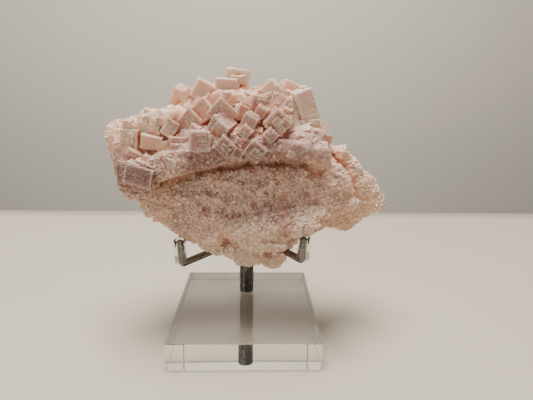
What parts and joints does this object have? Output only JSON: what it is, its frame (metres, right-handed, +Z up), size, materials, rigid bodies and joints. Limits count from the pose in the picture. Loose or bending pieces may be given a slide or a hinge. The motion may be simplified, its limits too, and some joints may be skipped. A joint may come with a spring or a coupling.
{
  "type": "halite crystal specimen on a display stand",
  "caption": "Pink halite specimen with cubic crystals grown over a granular crust, resting on a bent-rod stand with a clear acrylic base.",
  "frame": {"origin": "centre of the acrylic base's underside, on the surface that it stands on", "axes": "+Z up, +Y from the viewer's side towards the post and the specimen's back, +X to the viewer's right along the specimen's width"},
  "size_m": [0.1233, 0.0636, 0.1189],
  "materials": {
    "halite": "milky pink salt: frosted cubic crystals, pale edges, sugary granular crust",
    "clear_acrylic": "clear cast acrylic with polished faces and edges",
    "dark_steel": "dark polished steel rod",
    "clear_vinyl": "clear soft vinyl tube, slightly warm"
  },
  "bodies": {
    "root": {"halite_specimen": "halite", "acrylic_base": "clear_acrylic", "post": "dark_steel", "front_left_arm": "dark_steel", "front_right_arm": "dark_steel", "back_arm": "dark_steel", "front_left_sleeve": "clear_vinyl", "front_right_sleeve": "clear_vinyl", "back_sleeve": "clear_vinyl"}
  },
  "joints": []
}
